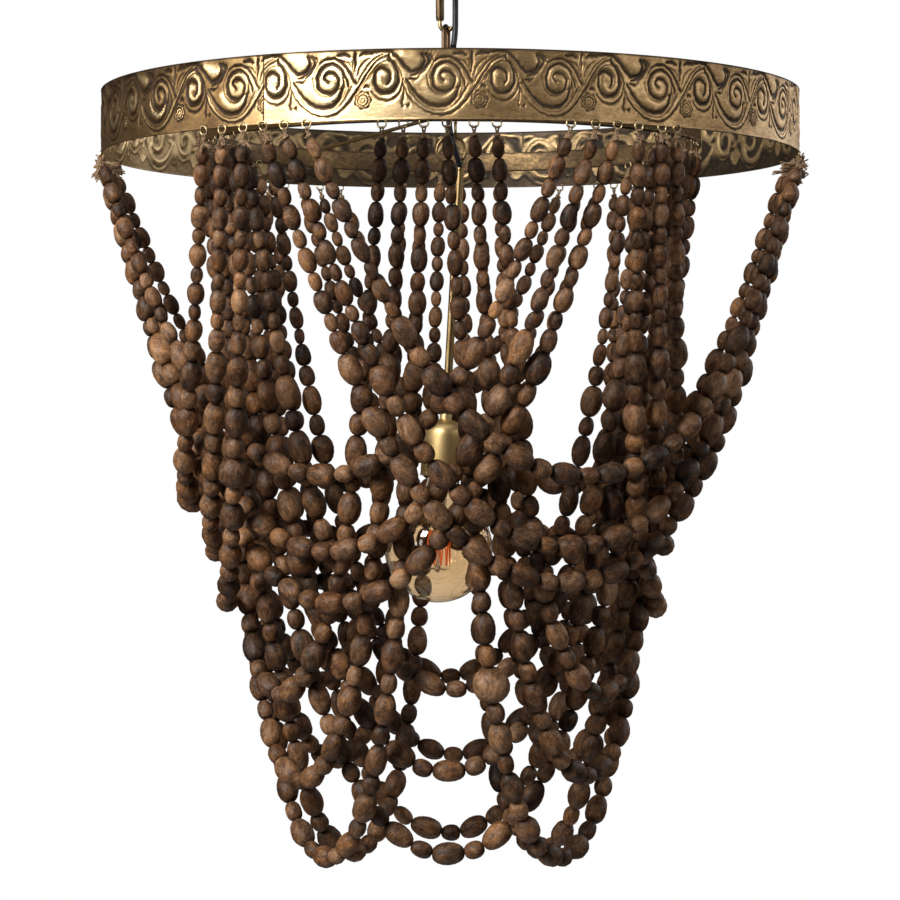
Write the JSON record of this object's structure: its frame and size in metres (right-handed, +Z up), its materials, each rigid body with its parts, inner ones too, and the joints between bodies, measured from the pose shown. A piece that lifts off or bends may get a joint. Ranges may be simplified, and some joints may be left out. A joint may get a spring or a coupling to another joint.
{
  "type": "beaded chandelier",
  "caption": "Ceiling light: embossed gold hoop and smaller inner hoop on a three-armed hub, hung with draped strands of wooden beads round a globe bulb on a brass stem.",
  "frame": {"origin": "centre of the ceiling bracket's top face, which lies against the ceiling", "axes": "+Z up toward the ceiling, +X right and +Y back as the light is seen from the front"},
  "size_m": [0.6173, 0.61, 0.7979],
  "materials": {
    "antique_gold": "embossed brass strip, antique gold, dark in the hollows",
    "smooth_gold": "smooth gold plated steel",
    "bronze": "dark bronze plated steel",
    "satin_brass": "satin brass",
    "zinc_steel": "zinc plated steel",
    "holder_black": "matt black insulating plastic",
    "flex_black": "black round flex with a soft sheen",
    "amber_glass": "clear amber glass",
    "filament": "glowing carbon filament on a glass stem",
    "bead_wood": "turned wooden beads, lightly sanded, brown with the grain showing"
  },
  "bodies": {
    "ceiling": {"ceiling_bracket": "zinc_steel", "hook_stem": "bronze", "ceiling_hook": "smooth_gold", "flex_top": "flex_black"},
    "rose": {"canopy_cup": "smooth_gold", "canopy_nut": "bronze", "cord_grip": "holder_black"},
    "link": {"chain_link": "bronze", "flex_link": "flex_black"},
    "frame": {"hub": "smooth_gold", "spoke_1": "smooth_gold", "spoke_2": "smooth_gold", "spoke_3": "smooth_gold", "outer_band": "antique_gold", "inner_ring": "smooth_gold", "flex_frame": "flex_black", "strand_outer_m90_p30_1": "bead_wood", "strand_outer_m90_p30_2": "bead_wood", "strand_outer_m90_p30_3": "bead_wood", "strand_outer_p30_p150_1": "bead_wood", "strand_outer_p30_p150_2": "bead_wood", "strand_outer_p30_p150_3": "bead_wood", "strand_outer_p150_m90_1": "bead_wood", "strand_outer_p150_m90_2": "bead_wood", "strand_outer_p150_m90_3": "bead_wood", "strand_outer_m30_p90_1": "bead_wood", "strand_outer_m30_p90_2": "bead_wood", "strand_outer_m30_p90_3": "bead_wood", "strand_outer_p90_m150_1": "bead_wood", "strand_outer_p90_m150_2": "bead_wood", "strand_outer_p90_m150_3": "bead_wood", "strand_outer_m150_m30_1": "bead_wood", "strand_outer_m150_m30_2": "bead_wood", "strand_outer_m150_m30_3": "bead_wood", "strand_inner_p0_p120_1": "bead_wood", "strand_inner_p0_p120_2": "bead_wood", "strand_inner_p0_p120_3": "bead_wood", "strand_inner_p120_m120_1": "bead_wood", "strand_inner_p120_m120_2": "bead_wood", "strand_inner_p120_m120_3": "bead_wood", "strand_inner_m120_p0_1": "bead_wood", "strand_inner_m120_p0_2": "bead_wood", "strand_inner_m120_p0_3": "bead_wood", "strand_inner_m60_p60_1": "bead_wood", "strand_inner_m60_p60_2": "bead_wood", "strand_inner_m60_p60_3": "bead_wood", "strand_inner_p60_p180_1": "bead_wood", "strand_inner_p60_p180_2": "bead_wood", "strand_inner_p60_p180_3": "bead_wood", "strand_inner_p180_m60_1": "bead_wood", "strand_inner_p180_m60_2": "bead_wood", "strand_inner_p180_m60_3": "bead_wood"},
    "ring": {"split_ring": "satin_brass"},
    "lamp": {"stem_tube": "satin_brass", "holder_cup": "satin_brass", "holder_insert": "holder_black", "flex_lamp": "flex_black"},
    "bulb": {"bulb_cap": "zinc_steel", "bulb_glass": "amber_glass", "bulb_filament": "filament"}
  },
  "joints": [
    {"name": "rose_drop", "type": "slide", "parent": "ceiling", "child": "rose", "axis": [0, 0, -1], "range_m": [0, 0.018]},
    {"name": "link_swing", "type": "hinge", "parent": "ceiling", "child": "link", "pos_m": [-0.00375, 0, -0.0621], "axis": [1, 0, 0], "range_deg": [-10, 10]},
    {"name": "frame_swing", "type": "hinge", "parent": "link", "child": "frame", "pos_m": [-0.00375, 0, -0.0959], "axis": [0.3256, 0.9455, 0], "range_deg": [-10, 10]},
    {"name": "ring_swing", "type": "hinge", "parent": "frame", "child": "ring", "pos_m": [0.0046, 0, -0.1584], "axis": [1, 0, 0], "range_deg": [-8, 8]},
    {"name": "lamp_swing", "type": "hinge", "parent": "ring", "child": "lamp", "pos_m": [0.009, 0, -0.1789], "axis": [0, 1, 0], "range_deg": [-8, 8]},
    {"name": "bulb_out", "type": "slide", "parent": "lamp", "child": "bulb", "axis": [-0.0569, 0, -0.9984], "range_m": [0, 0.03]}
  ]
}
